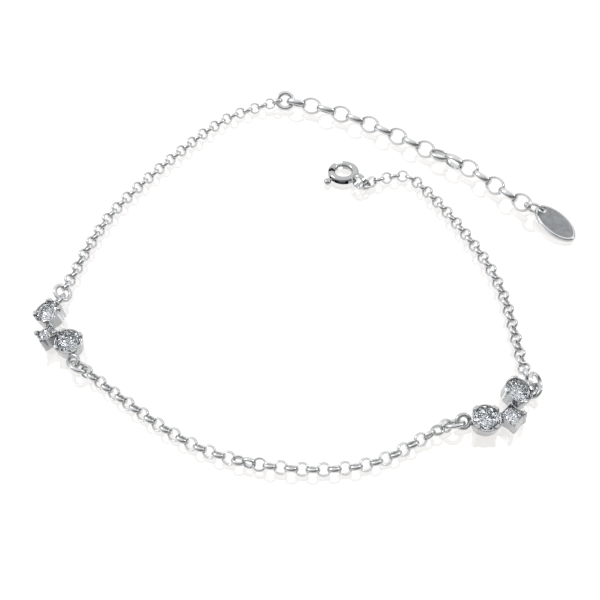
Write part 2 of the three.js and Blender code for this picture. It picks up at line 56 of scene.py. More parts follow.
CHAINS = [
    {
        "name": "chain_left", "link": ROLO, "links": 41, "first_roll": 45, "twists": [],
        "route": [
            (-4.48, 53.12, 1.53), (-7.90, 52.15, 1.00), (-13.30, 49.20, 0.94), (-17.85, 44.75, 0.94),
            (-23.55, 37.25, 0.94), (-29.00, 29.40, 0.94), (-33.75, 21.10, 0.94), (-36.95, 12.10, 0.94),
            (-38.50, 5.90, 0.95), (-39.35, 2.95, 1.20),
        ],
    },
    {
        "name": "chain_front", "link": ROLO, "links": 41, "first_roll": 45,
        "twists": [(18, 22, 90), (37, 40, -90)],
        "route": [
            (-33.45, -15.50, 1.15), (-30.70, -17.90, 0.94), (-25.60, -22.25, 0.94), (-20.60, -26.20, 0.94),
            (-15.00, -29.80, 0.94), (-9.20, -32.15, 1.08), (-3.30, -33.40, 1.18), (2.90, -33.75, 1.04),
            (8.90, -33.05, 0.94), (13.20, -31.45, 0.95), (18.20, -28.35, 1.16), (21.95, -25.95, 1.15),
        ],
    },
    {
        "name": "chain_right", "link": ROLO, "links": 39, "first_roll": 5,
        "twists": [(0, 2, -50), (36, 38, -35)],
        "route": [
            (11.98, 28.42, 1.22), (13.15, 29.42, 1.12), (16.05, 30.72, 0.98), (18.35, 31.35, 0.94),
            (20.50, 30.70, 0.97), (22.40, 28.30, 0.94), (26.00, 22.20, 0.94), (29.70, 14.50, 0.94),
            (32.60, 7.00, 0.94), (34.20, -0.60, 0.94), (34.75, -8.00, 0.94), (35.10, -13.30, 0.94),
            (35.35, -16.35, 1.30),
        ],
    },
    {
        "name": "extension_chain", "link": OVAL, "links": 17, "first_roll": 135, "twists": [(9, 12, 90)],
        "route": [
            (-0.71, 52.81, 1.45), (2.80, 51.55, 1.50), (8.70, 48.80, 1.48), (14.30, 45.40, 1.48),
            (19.60, 41.60, 1.48), (24.30, 38.00, 1.52), (29.10, 34.40, 1.66), (31.60, 32.50, 1.66),
            (33.50, 30.60, 1.48), (37.70, 25.90, 1.48), (40.00, 23.30, 1.62),
        ],
    },
]

# Each ring: centre, outer diameter, wire diameter, lean from lying flat, and the way it leans.
RINGS = [
    ("end_ring", (-2.94, 53.22, 1.66), 3.95, 0.92, 41, -88),
    ("left_back_ring", (-39.68, 1.28, 1.29), 3.50, 0.72, 37, -12),
    ("left_front_ring", (-34.77, -14.66, 1.26), 3.50, 0.72, 35, 48),
    ("right_front_ring", (23.22, -25.71, 1.26), 3.50, 0.72, 40, 103),
    ("right_back_ring", (36.56, -17.84, 1.43), 3.50, 0.70, 50, -16),
    ("tag_ring", (41.97, 21.72, 1.75), 3.80, 0.64, 65, 64),
]

# Cups are turned about their own axis from their rim, which is at z = 0; claws rise above it.
CUP = {
    "height": 2.05, "rim": 0.08, "rim_wall": 0.2, "taper": 0.14, "base_wall": 0.45, "corner_share": 0.97,
}
CLAW = {
    "half_width": 0.32, "flank": 0.45, "foot": 0.1, "out": 0.24,
    "shoulder": 0.22, "tip": 0.5, "reach": 0.45, "under": 0.3,
}
CUPS = [
    {
        "part": "front", "square": False, "radius": 2.25, "x": -3.95, "y": -0.72,
        "lean": 13, "towards": -90, "claw_at": 45,
    },
    {"part": "square", "square": True, "radius": 2.15, "x": 0.00, "y": 0.00, "claw_at": 0},
    {
        "part": "back", "square": False, "radius": 2.32, "x": 1.62, "y": 4.50,
        "lean": 16, "towards": -10, "claw_at": 15,
    },
]
CLUSTERS = [
    {
        "name": "right", "x": 31.90, "y": -24.80, "turn": 0, "mirror": 1, "square": (8, 180),
        "loops": [
            {"cup": "front", "at": (24.62, -25.25, 1.30), "lean": 45, "towards": -75},
            {"cup": "back", "at": (36.25, -19.40, 1.30), "lean": 45, "towards": 180},
        ],
    },
    {
        "name": "left", "x": -40.56, "y": -8.82, "turn": -13, "mirror": -1, "square": (18, 148),
        "loops": [
            {"cup": "front", "at": (-35.80, -13.60, 1.30), "lean": 45, "towards": -133},
            {"cup": "back", "at": (-39.92, -0.27, 1.30), "lean": 45, "towards": 162},
        ],
    },
]
# Heights and radii of the cuts are shares of the stone's radius. A lower row is (radius, height) or, on a
# round stone, also a shift in shares of a facet.
CUT = {"girdle": -0.05, "slope": 0.05, "lift": 0.07, "lift_rows_on": 3}
PATTERN = {"row": 5.17, "place": 2.39, "start": 1.0}
ROUND_CUT = {
    "crown": 8, "table": (0.56, 0.22), "kite": (0.78, 0.11), "tip": 0.91,
    "rows": [
        (0.86, -0.20, 0.5), (0.70, -0.34, 0.0), (0.54, -0.50, 0.5), (0.36, -0.64, 0.0), (0.18, -0.78, 0.5),
    ],
}
SQUARE_CUT = {
    "per_side": 5, "table": (0.58, 0.24), "step": (0.60, 0.13), "tip": 0.84,
    "rows": [(0.82, -0.20), (0.64, -0.34), (0.45, -0.50), (0.24, -0.66)],
}
STONE_FIT = {"round_gap": 0.10, "square_share": 0.82, "rise": 0.02}
# Which facets face down, and which of these are painted near black as painted shade (where a real stone lets
# the light out), by the fixed pattern of facet_offset.
FACETS_DOWN_AND_PAINTED_SHADE = {"above": 0.95, "cycle": 7, "facing_down": -0.15}
LOOP = {"outer": 2.7, "wire": 0.7}
SOLDER = {"radius": 0.55, "sunk": 0.75, "height": 1.1, "into_cup": 0.5}

# Angles round the clasp are compass degrees about its centre.
CLASP = {"at": (8.1, 32.55, 0.70), "major": 2.22, "tube": 0.73, "bore": 0.48}
CLASP_TUBE = {"scale": 0.95, "squareness": 0.9}
CLASP_GAP = (92, 128)
CLASP_BORE = (64, 302)
CLASP_SLOT = {"from": 207, "to": 287, "height": 0.72, "half_depth": 0.45}
CLASP_HOLE = {"at": 177, "radius": 0.55, "height": 1.2}
CLASP_LOOP = {
    "at": 310, "turn": 320, "reach": 4.37, "z": 1.53,
    "outer": 3.0, "wall": 0.34, "band": 1.0, "neck": 0.4,
}
BOLT = {"from": 75, "to": 229, "radius": 0.34}
KNOB = {"at": 219.5, "reach": 3.9, "radius": 0.68, "flat": 0.8, "stem": 0.24}

TAG = {"at": (45.3, 18.6), "turn": -55.5, "length": 9.4, "width": 5.15, "thickness": 0.85, "bow": 0.54}
TAG_HOLE = {"from_centre": 3.45, "radius": 0.76, "flare": 0.12, "land": 0.08, "beyond": 0.2, "core": 0.02}
TAG_LIFT = {"angle": 6.5, "rest": 0.02}
TAG_TIP_INSET = 1.35
TAG_FLAT = {"facing": 0.995, "area": 2.0}

# The domed ends of a solder bar, as shares of its radius.
BAR_DOME = {"tip": 0.55, "height": 0.3}

# Cells round each curved form, and the angle in degrees above which its edges stay sharp.
TORUS_CELLS = (56, 18)
CUP_COLUMNS = 160
BAR_SIDES = 20
DRILL_SIDES = 32
TUBE_SIDES = 40
BORE_SIDES = 20
SWEEP_STEPS = {"tube": 110, "bore": 80, "slot": 30, "bolt": 60}
CLASP_LOOP_COLUMNS = 64
BALL_CELLS = (16, 28)
TAG_COLUMNS = 96
TAG_HOLE_COLUMNS = 40
SHARP = {"chain": 42, "ring": 60, "setting": 38, "clasp": 35, "bolt": 40, "tag": 30}
UP = np.array([0.0, 0.0, 1.0])


# ----------------------------------------------------------------------------------------------------
# Small helpers
# ----------------------------------------------------------------------------------------------------

def to_row(points):
    """Points of the solids' own layout, in mm, to metres in the row frame."""
    shift = np.array([FOOTPRINT_CENTRE[0], FOOTPRINT_CENTRE[1], 0.0])
    return (np.asarray(points, float) - shift) * MM


def compass(degrees):
    return np.array([math.cos(math.radians(degrees)), math.sin(math.radians(degrees)), 0.0])


def leaned(lean, towards):
    """Rotation that leans +Z from the vertical by lean, towards the compass angle."""
    axis = Vector(compass(towards + 90))
    return np.array(Matrix.Rotation(math.radians(lean), 3, axis))


def placed(points, centre, rotation):
    return np.asarray(points, float) @ np.asarray(rotation).T + np.asarray(centre, float)


def mesh_object(name, points, faces):
    mesh = bpy.data.meshes.new(name)
    mesh.from_pydata([tuple(p) for p in to_row(points)], [], faces)
    mesh.validate()
    outward(mesh)
    piece = bpy.data.objects.new(name, mesh)
    bpy.context.scene.collection.objects.link(piece)
    return piece


def outward(mesh):
    work = bmesh.new()
    work.from_mesh(mesh)
    bmesh.ops.recalc_face_normals(work, faces=work.faces[:])
    work.to_mesh(mesh)
    work.free()


def smooth(piece, degrees):
    """Smooth shading that keeps the edges sharp where the faces turn by more than the angle."""
    mesh = piece.data
    mesh.shade_smooth()
    work = bmesh.new()
    work.from_mesh(mesh)
    limit = math.radians(degrees)
    for edge in work.edges:
        edge.smooth = len(edge.link_faces) == 2 and edge.calc_face_angle(math.pi) < limit
    work.to_mesh(mesh)
    work.free()


def strip_faces(rows, columns):
    """Quads between each of the rings of points and the one after it."""
    faces = []
    for row in range(rows - 1):
        here, there = row * columns, (row + 1) * columns
        for column in range(columns):
            after = (column + 1) % columns
            faces.append((here + column, here + after, there + after, there + column))
    return faces


def grid_faces(rows, columns):
    """Quads of a grid of rings that closes on itself both ways."""
    faces = []
    for row in range(rows):
        here, there = row * columns, ((row + 1) % rows) * columns
        for column in range(columns):
            after = (column + 1) % columns
            faces.append((here + column, there + column, there + after, here + after))
    return faces


def turns(count, shift=0):
    """Angles evenly round a circle, moved on by a share of a step."""
    return [2 * math.pi * (i + shift) / count for i in range(count)]


def on_circle(radius, turn):
    return radius * math.cos(turn), radius * math.sin(turn)


def combined(name, pieces, operation):
    """Boolean of the first piece with each of the others in turn; the others are removed.

    Where the first piece has no material yet, the result has none either.
    """
    whole = pieces[0]
    for other in pieces[1:]:
        step = whole.modifiers.new("join", "BOOLEAN")
        step.operation = operation
        step.solver = "MANIFOLD" if operation == "UNION" else "EXACT"
        step.object = other
        graph = bpy.context.evaluated_depsgraph_get()
        result = bpy.data.meshes.new_from_object(whole.evaluated_get(graph))
        if not whole.data.materials:
            result.materials.clear()
        whole.modifiers.clear()
        whole.data = result
        bpy.data.objects.remove(other)
    whole.name = name
    whole.data.name = name
    return whole


# ----------------------------------------------------------------------------------------------------
# Materials
# ----------------------------------------------------------------------------------------------------

class Tree:
    """The node tree of a material or of the world, and the kinds of node that its look is made of."""

    def __init__(self, owner, surface, coordinates):
        owner.use_nodes = True
        self.nodes, self.links = owner.node_tree.nodes, owner.node_tree.links
        self.surface = self.nodes[surface]
        self.place = self.add("TexCoord").outputs[coordinates]

    def fill(self, node, values=None, sources=None):
        """Constants on a node's own sockets, and the sources that its other sockets are linked to."""
        for socket, value in (values or {}).items():
            node.inputs[socket].default_value = value
        for socket, source in (sources or {}).items():
            self.links.new(source, node.inputs[socket])

    def add(self, kind, values=None, sources=None):
        node = self.nodes.new("ShaderNode" + kind)
        self.fill(node, values, sources)
        return node

    def ranged(self, source, low, high, from_low=0.0, from_high=1.0):
        values = {"From Min": from_low, "From Max": from_high, "To Min": low, "To Max": high}
        return self.add("MapRange", values, {"Value": source}).outputs["Result"]

    def ramp(self, source, stops):
        """Colours along a ramp, from (position, colour) stops."""
        node = self.add("ValToRGB", sources={"Fac": source})
        elements = node.color_ramp.elements
        elements[0].position, elements[1].position = stops[0][0], stops[-1][0]
        for position, _ in stops[1:-1]:
            elements.new(position)
        for element, (_, colour) in zip(elements, stops):
            element.color = (*colour, 1)
        return node.outputs["Color"]

    def noise(self, per_mm, detail, stretch=(1, 1, 1)):
        mapped = self.add("Mapping", {"Scale": stretch}, {"Vector": self.place}).outputs["Vector"]
        values = {"Scale": per_mm / MM, "Detail": detail}
        return self.add("TexNoise", values, {"Vector": mapped}).outputs["Fac"]

    def bump(self, height, strength, depth):
        values = {"Strength": strength, "Distance": depth * MM}
        return self.add("Bump", values, {"Height": height}).outputs["Normal"]

    def combine(self, kind, operation, first, second):
        node = self.add(kind, sources={0: first, 1: second})
        node.operation = operation
        return node


def new_material(name):
    material = bpy.data.materials.new(name)
    return material, Tree(material, "Principled BSDF", "Object")


def silver(name, dark, light, rough_low, rough_high, scratch):
    """Polished silver: faint tone clouds, uneven polish, and hairline scratches."""
    material, tree = new_material(name)
    clouds = tree.noise(per_mm=0.5, detail=4.0)
    polish = tree.noise(per_mm=2.6, detail=5.0)
    hairs = tree.noise(per_mm=3.0, detail=2.0, stretch=(9, 1.2, 1.2))
    tree.fill(tree.surface, {"Metallic": 1.0}, {
        "Base Color": tree.ramp(clouds, [(0, dark), (1, light)]),
        "Roughness": tree.ranged(polish, rough_low, rough_high, from_low=0.3, from_high=0.7),
        "Normal": tree.bump(hairs, scratch, depth=0.004),
    })
    return material


def brushed(name, dark, light):
    """The tag's matt grey face: short brush marks one way, with a mottled tone."""
    material, tree = new_material(name)
    marks = tree.noise(per_mm=2.2, detail=6.0, stretch=(1, 6, 1))
    mottle = tree.noise(per_mm=1.1, detail=6.0)
    both = tree.combine("Math", "ADD", marks, mottle).outputs["Value"]
    tone = tree.ranged(both, 0.0, 1.0, from_low=0.7, from_high=1.3)
    tree.fill(tree.surface, {"Metallic": 0.85}, {
        "Base Color": tree.ramp(tone, [(0, dark), (1, light)]),
        "Roughness": tree.ranged(marks, 0.42, 0.6),
        "Normal": tree.bump(marks, strength=0.35, depth=0.01),
    })
    return material


def clouded(name, per_mm, tones, roughness, values):
    """A smooth material whose tone and polish vary a little with one soft cloud."""
    material, tree = new_material(name)
    cloud = tree.noise(per_mm, detail=2.0)
    tree.fill(tree.surface, values, {
        "Base Color": tree.ramp(cloud, [(0, tones[0]), (1, tones[1])]),
        "Roughness": tree.ranged(cloud, *roughness),
    })
    return material


# Each silver: darkest and lightest tone, lowest and highest roughness, and strength of the hairlines.
CHAIN_SILVER = silver("polished_chain_silver", (0.55, 0.56, 0.57), (0.64, 0.65, 0.66), 0.16, 0.26, 0.10)
SETTING_SILVER = silver("cast_setting_silver", (0.42, 0.43, 0.44), (0.52, 0.53, 0.54), 0.12, 0.24, 0.22)
RING_SILVER = silver("polished_wire_silver", (0.55, 0.56, 0.57), (0.66, 0.67, 0.68), 0.10, 0.20, 0.15)
CLASP_SILVER = silver("polished_clasp_silver", (0.37, 0.38, 0.39), (0.50, 0.51, 0.52), 0.06, 0.13, 0.12)
TAG_RIM = silver("tag_rim_silver", (0.50, 0.51, 0.52), (0.64, 0.65, 0.66), 0.12, 0.24, 0.2)
TAG_FACE = brushed("brushed_tag_silver", (0.21, 0.22, 0.23), (0.35, 0.36, 0.37))

# The stones are clear above. Their lower facets, seen from inside, send the light back up as a mirror
# does; a few are painted near black instead, as painted shade where a real stone lets the light out.
STONE = clouded(
    "clear_cut_stone", 0.8, [(0.97, 0.98, 1.0), (1.0, 1.0, 1.0)], (0.0, 0.012),
    {"Transmission Weight": 1.0, "IOR": 1.8})
STONE_BACK = clouded(
    "stone_lower_facets", 0.9, [(0.86, 0.88, 0.90), (0.97, 0.98, 1.0)], (0.01, 0.03), {"Metallic": 1.0})
# Painted shade: near-black mirror facets that stand in for the dark where light leaks out of a stone.
STONE_PAINTED_SHADE = clouded(
    "stone_facets_painted_shade", 0.9, [(0.04, 0.045, 0.05), (0.12, 0.125, 0.13)], (0.01, 0.03),
    {"Metallic": 1.0})


def finished(piece, node, body, material):
    """The piece takes a material if it has none, stands for its CAD node, and rides on the node's body."""
    if not piece.data.materials:
        piece.data.materials.append(material)
    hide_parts(node)
    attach(piece, body)


# ----------------------------------------------------------------------------------------------------
# Chains
# ----------------------------------------------------------------------------------------------------

class Route:
    """A centripetal Catmull-Rom curve through points, measured along its length."""

    DIVISIONS = 2000
    TANGENT_STEP = 1e-4

    def __init__(self, points):
        self.points = [np.array(p, float) for p in points]
        self.shares = np.linspace(0, 1, self.DIVISIONS + 1)
        samples = np.array([self.point(s) for s in self.shares])
        steps = np.linalg.norm(np.diff(samples, axis=0), axis=1)
        self.lengths = np.concatenate([[0.0], np.cumsum(steps)])
        self.length = self.lengths[-1]

    def point(self, share):
        """The point at a share of the way through the given points, past a mirrored one at each end."""
        pts, last = self.points, len(self.points) - 1
        place = last * share
        first = min(int(math.floor(place)), last - 1)
        weight = place - first
        b, c = pts[first], pts[first + 1]
        a = pts[first - 1] if first > 0 else 2 * pts[0] - pts[1]
        d = pts[first + 2] if first + 2 <= last else 2 * pts[last] - pts[last - 1]
        ab, bc, cd = (np.sum((q - p) ** 2) ** 0.25 for p, q in ((a, b), (b, c), (c, d)))
        start = ((b - a) / ab - (c - a) / (ab + bc) + (c - b) / bc) * bc
        end = ((c - b) / bc - (d - b) / (bc + cd) + (d - c) / cd) * bc
        cube = 2 * b - 2 * c + start + end
        square = -3 * b + 3 * c - 2 * start - end
        return b + weight * (start + weight * (square + weight * cube))

    def at(self, share):
        """The point and the unit tangent at a share of the length."""
        here = float(np.interp(share * self.length, self.lengths, self.shares))
        ahead, behind = min(here + self.TANGENT_STEP, 1.0), max(here - self.TANGENT_STEP, 0.0)
        tangent = self.point(ahead) - self.point(behind)
        return self.point(here), tangent / np.linalg.norm(tangent)


def roll_at(chain, index):
    """A link's roll: a quarter turn from one link to the next, plus the chain's own twists."""
    roll = chain["first_roll"] + 90 * math.floor(index)
    for start, end, turn in chain["twists"]:
        roll += turn * min(max((index - start) / (end - start), 0.0), 1.0)
    return math.radians(roll)


def link_frame(chain, route, index):
    """Centre, and the axes along, across and normal to the link."""
    share = min(max(index / (chain["links"] - 1), 0.0), 1.0)
    centre, along = route.at(share)
    side = np.cross(along, (0.0, 0.0, 1.0))
    side /= np.linalg.norm(side)
    lift = np.cross(side, along)
    roll = roll_at(chain, index)
    normal = lift * math.cos(roll) + side * math.sin(roll)
    return centre, along, np.cross(normal, along), normal


def in_frame(axes, along, across, normal):
    centre, t, p, n = axes
    return centre + t * along + p * across + n * normal


# The outside of the half-round wire: how far out, as a share of the wall, and how far to the side, as a
# share of half the band, from one edge over the crown to the other.
WIRE_CROWN = [
    (0.16, 0.93), (0.40, 1.00), (0.66, 0.88), (0.86, 0.62), (0.97, 0.32), (1.00, 0.00),
    (0.97, -0.32), (0.86, -0.62), (0.66, -0.88), (0.40, -1.00), (0.16, -0.93),
]
PATCH_CELLS = 2
SIDE_CELLS = 13


def link_angles():
    """Where the section stands round a link: close together at both bearings, then round both sides."""
    angles = [-HALF_FACET + 2 * HALF_FACET * k / PATCH_CELLS for k in range(PATCH_CELLS)]
    angles += [HALF_FACET + (math.pi - 2 * HALF_FACET) * k / SIDE_CELLS for k in range(SIDE_CELLS)]
    return angles + [a + math.pi for a in angles]


def chain_piece(chain):
    """All the links as one closed body: each bears on the next through one small shared square."""
    route = Route(chain["route"])
    link = chain["link"]
    pitch = route.length / (chain["links"] - 1)
    long_half = pitch / 2 / math.cos(HALF_FACET)
    wide_half = link["width"] / 2 - link["wall"]
    patch = wide_half * math.sin(HALF_FACET)
    steps = [patch * (2 * i / PATCH_CELLS - 1) for i in range(PATCH_CELLS + 1)]
    section = [(0.0, step) for step in steps]
    section += [(out * link["wall"], side * link["band"] / 2) for out, side in WIRE_CROWN]
    angles = link_angles()
    half_way = len(angles) // 2
    points, faces = [], []

    def add(point):
        points.append(point)
        return len(points) - 1

    def bearing(index):
        """The edge of the shared square, keyed by steps along the first link's across and normal."""
        axes = link_frame(chain, route, index + 0.5)
        edge = {}
        for i, across in enumerate(steps):
            for j, normal in enumerate(steps):
                if i in (0, PATCH_CELLS) or j in (0, PATCH_CELLS):
                    edge[i, j] = add(in_frame(axes, 0, across, normal))
        return edge

    def link_point(axes, k, place, before, after):
        """A point of a link: at a bearing the neighbour's own, and none inside the shared square."""
        if place <= PATCH_CELLS:
            if k <= PATCH_CELLS and after is not None:
                return after.get((k, place))
            if half_way <= k <= half_way + PATCH_CELLS and before is not None:
                return before.get((PATCH_CELLS - place, PATCH_CELLS - (k - half_way)))
        out, side = section[place]
        along = (long_half + out) * math.cos(angles[k])
        return add(in_frame(axes, along, (wide_half + out) * math.sin(angles[k]), side))

    before = None
    for index in range(chain["links"]):
        after = bearing(index) if index < chain["links"] - 1 else None
        axes = link_frame(chain, route, index)
        rows = [
            [link_point(axes, k, place, before, after) for place in range(len(section))]
            for k in range(len(angles))
        ]
        for k in range(len(angles)):
            row, following = rows[k], rows[(k + 1) % len(angles)]
            bare = (k < PATCH_CELLS and after is not None) or (
                half_way <= k < half_way + PATCH_CELLS and before is not None)
            for place in range(len(section)):
                if bare and place < PATCH_CELLS:
                    continue
                other = (place + 1) % len(section)
                faces.append((row[place], row[other], following[other], following[place]))
        before = after
    piece = mesh_object(chain["name"] + "_links", points, faces)
    smooth(piece, SHARP["chain"])
    finished(piece, chain["name"], "bracelet", CHAIN_SILVER)


# ----------------------------------------------------------------------------------------------------
# Rings
# ----------------------------------------------------------------------------------------------------

def torus(name, centre, rotation, outer, wire):
    major, minor = (outer - wire) / 2, wire / 2
    around, sides = TORUS_CELLS
    points = []
    for turn in turns(around):
        for wire_turn in turns(sides):
            reach = major + minor * math.cos(wire_turn)
            points.append((*on_circle(reach, turn), minor * math.sin(wire_turn)))
    return mesh_object(name, placed(points, centre, rotation), grid_faces(around, sides))


def ring_piece(name, at, outer, wire, lean, towards):
    piece = torus(name + "_wire", at, leaned(lean, towards), outer, wire)
    smooth(piece, SHARP["ring"])
    finished(piece, name, "bracelet", RING_SILVER)


# ----------------------------------------------------------------------------------------------------
# Clusters
# ----------------------------------------------------------------------------------------------------

def cup_place(cluster, cup):
    """The middle of the cup's rim and the cup's rotation, with the lowest edge of its foot on the sheet."""
    turn = math.radians(cluster["turn"])
    spin = np.array(Matrix.Rotation(turn, 3, "Z"))
    local = spin @ np.array([cluster["mirror"] * cup["x"], cup["y"], 0.0])
    if cup["square"]:
        lean, towards = cluster["square"]
    else:
        lean, towards = cup["lean"], cup["towards"] if cluster["mirror"] == 1 else 180 - cup["towards"]
    base = cup["radius"] - CUP["taper"] + CLAW["foot"]
    height = CUP["height"] * math.cos(math.radians(lean)) + base * math.sin(math.radians(lean))
    centre = np.array([cluster["x"] + local[0], cluster["y"] + local[1], height])
    return centre, leaned(lean, towards) @ spin


def wall_outline(rim):
    """Outside from the foot up over the rounded rim, and down inside."""
    foot = rim - CUP["taper"]
    top, wall = CUP["rim"], CUP["rim_wall"]
    return [
        (foot - 0.03, -CUP["height"]), (foot + 0.02, -CUP["height"] + 0.05),
        (foot + CUP["taper"] * 0.55, -CUP["height"] * 0.5), (rim - 0.02, top - 0.12),
        (rim - 0.01, top - 0.04), (rim - wall * 0.25, top), (rim - wall * 0.5, top + 0.01),
        (rim - wall * 0.75, top), (rim - wall, top - 0.05), (rim - wall - 0.02, top - 0.16),
        (rim - wall - 0.30, -CUP["height"] * 0.5), (foot - CUP["base_wall"], -CUP["height"]),
    ]


def claw_outline(rim):
    """The same where a claw stands: a rib outside and a rounded tip bent in over the stone."""
    foot = rim - CUP["taper"]
    return [
        (foot + CLAW["foot"] - 0.06, -CUP["height"]), (foot + CLAW["foot"], -CUP["height"] + 0.06),
        (foot + CLAW["foot"] + 0.08, -CUP["height"] * 0.5),
        (rim + CLAW["out"] - 0.03, CLAW["shoulder"] - 0.18),
        (rim + CLAW["out"] - 0.01, CLAW["shoulder"]), (rim + 0.08, CLAW["tip"] - 0.06),
        (rim - CLAW["reach"] * 0.32, CLAW["tip"]), (rim - CLAW["reach"] * 0.72, CLAW["tip"] - 0.03),
        (rim - CLAW["reach"], CLAW["under"] + 0.02), (rim - CLAW["reach"] * 0.8, CLAW["under"] - 0.1),
        (rim - CUP["rim_wall"] - 0.1, -0.15), (foot - CUP["base_wall"], -CUP["height"]),
    ]


def rim_radius(cup, off_claw):
    """The radius at an angle from the nearest claw; a square cup has its claws at its rounded corners."""
    if not cup["square"]:
        return cup["radius"]
    flat = cup["radius"] * math.sqrt(0.5) / math.cos(math.pi / 4 - abs(off_claw))
    return min(flat, cup["radius"] * CUP["corner_share"])


def soft_step(value):
    value = min(max(value, 0.0), 1.0)
    return value * value * (3 - 2 * value)


def cup_shell(name, cluster, cup):
    """Cup and claws in one skin: the outline swells into a claw four times round."""
    centre, rotation = cup_place(cluster, cup)
    points = []
    for turn in turns(CUP_COLUMNS):
        off = (turn + math.pi / 4) % (math.pi / 2) - math.pi / 4
        rim = rim_radius(cup, off)
        from_claw = abs(off) * cup["radius"]
        swell = soft_step((CLAW["half_width"] + CLAW["flank"] - from_claw) / CLAW["flank"])
        angle = turn + math.radians(cup["claw_at"])
        for wall, claw in zip(wall_outline(rim), claw_outline(rim)):
            r = wall[0] + swell * (claw[0] - wall[0])
            z = wall[1] + swell * (claw[1] - wall[1])
            points.append((*on_circle(r, angle), z))
    rows = len(points) // CUP_COLUMNS
    return mesh_object(name, placed(points, centre, rotation), grid_faces(CUP_COLUMNS, rows))


def direction(start, end):
    return (end - start) / np.linalg.norm(end - start)


def bar(name, start, end, radius, sides=BAR_SIDES):
    """A short round bar with domed ends."""
    start, end = np.asarray(start, float), np.asarray(end, float)
    turn = np.array(Vector((0, 0, 1)).rotation_difference(Vector(direction(start, end))).to_matrix())
    length = np.linalg.norm(end - start)
    tip, dome = radius * BAR_DOME["tip"], radius * BAR_DOME["height"]
    profile = [(tip, -dome), (radius, 0.0), (radius, length), (tip, length + dome)]
    points = [(*on_circle(r, around), z) for r, z in profile for around in turns(sides)]
    faces = [tuple(range(sides))[::-1], tuple(range(3 * sides, 4 * sides))] + strip_faces(4, sides)
    return mesh_object(name, placed(points, start, turn), faces)


def setting_piece(cluster):
    """The three cups, the solder between them and the soldered loops, as one casting."""
    name = cluster["name"] + "_setting"
    cups = {cup["part"]: cup for cup in CUPS}
    parts = [cup_shell(f"{name}_{cup['part']}", cluster, cup) for cup in CUPS]
    for first, second in (("front", "square"), ("square", "back")):
        a, b = cup_place(cluster, cups[first])[0], cup_place(cluster, cups[second])[0]
        a[2] = b[2] = SOLDER["height"]
        way = direction(a, b)
        start = a + way * (cups[first]["radius"] - SOLDER["sunk"])
        end = b - way * (cups[second]["radius"] - SOLDER["sunk"])
        parts.append(bar(f"{name}_solder_{first}", start, end, SOLDER["radius"]))
    for loop in cluster["loops"]:
        centre, tilt = np.array(loop["at"]), leaned(loop["lean"], loop["towards"])
        parts.append(torus(f"{name}_loop_{loop['cup']}", centre, tilt, LOOP["outer"], LOOP["wire"]))
        middle = cup_place(cluster, cups[loop["cup"]])[0]
        middle[2] = loop["at"][2]
        way = direction(centre, middle)
        face = tilt @ UP
        in_plane = way - face * np.dot(way, face)
        in_plane /= np.linalg.norm(in_plane)
        start = centre + in_plane * (LOOP["outer"] - LOOP["wire"]) / 2
        end = middle + way * (SOLDER["into_cup"] - cups[loop["cup"]]["radius"])
        parts.append(bar(f"{name}_solder_{loop['cup']}_loop", start, end, LOOP["wire"] / 2))
    piece = combined(name + "_cast", parts, "UNION")
    smooth(piece, SHARP["setting"])
    finished(piece, name, "bracelet", SETTING_SILVER)


# ----------------------------------------------------------------------------------------------------
# Stones
# ----------------------------------------------------------------------------------------------------

def facet_offset(row, place):
    """A fixed pattern of small lifts, in -1 to 1, that gives neighbouring lower facets different slopes."""
    return math.sin(row * PATTERN["row"] + place * PATTERN["place"] + PATTERN["start"])


def girdle_band(faces, upper, lower, around):
    for i in range(around):
        j = (i + 1) % around
        faces.append((upper + i, lower + i, lower + j, upper + j))


def mosaic(points, faces, girdle, rows, tip_depth):
    """Rows of small triangular facets from the lower girdle ring down to the point below."""
    above, around = girdle, len(rows[0][0])
    for row, (outline, z) in enumerate(rows):
        start = len(points)
        for i, (x, y) in enumerate(outline):
            swell = 1 + CUT["slope"] * facet_offset(row, i)
            lift = CUT["lift"] * facet_offset(row + CUT["lift_rows_on"], i)
            points.append((x * swell, y * swell, z + lift))
        for i in range(around):
            j = (i + 1) % around
            faces.append((start + i, above + i, above + j))
            faces.append((start + i, above + j, start + j))
        above = start
    tip = len(points)
    points.append((0.0, 0.0, tip_depth))
    for i in range(around):
        faces.append((above + i, above + (i + 1) % around, tip))


def round_brilliant(radius):
    """Table, stars, kites and halves above the girdle; a mosaic of facets below."""
    points, faces = [], []
    crown = ROUND_CUT["crown"]
    around = 3 * crown

    def circle(count, r, shift):
        return [on_circle(radius * r, turn) for turn in turns(count, shift)]

    def ring(count, r, z, shift):
        first = len(points)
        points.extend((x, y, radius * z) for x, y in circle(count, r, shift))
        return first

    top = ring(crown, *ROUND_CUT["table"], 0.5)
    kite = ring(crown, *ROUND_CUT["kite"], 0.0)
    upper = ring(around, 1.0, 0.0, 0.0)
    lower = ring(around, 1.0, CUT["girdle"], 0.0)
    faces.append(tuple(top + i for i in range(crown)))
    for i in range(crown):
        j, back = (i + 1) % crown, (i - 1) % crown
        here, before = upper + 3 * i, upper + (3 * i - 1) % around
        one, two = here + 1, here + 2
        faces.append((top + back, kite + i, top + i))
        faces.append((kite + i, here, one))
        faces.append((kite + i, before, here))
        faces.append((top + i, kite + i, one))
        faces.append((top + i, one, two))
        faces.append((top + i, two, kite + j))
    girdle_band(faces, upper, lower, around)
    rows = [(circle(around, r, shift), radius * z) for r, z, shift in ROUND_CUT["rows"]]
    mosaic(points, faces, lower, rows, -radius * ROUND_CUT["tip"])
    return points, faces


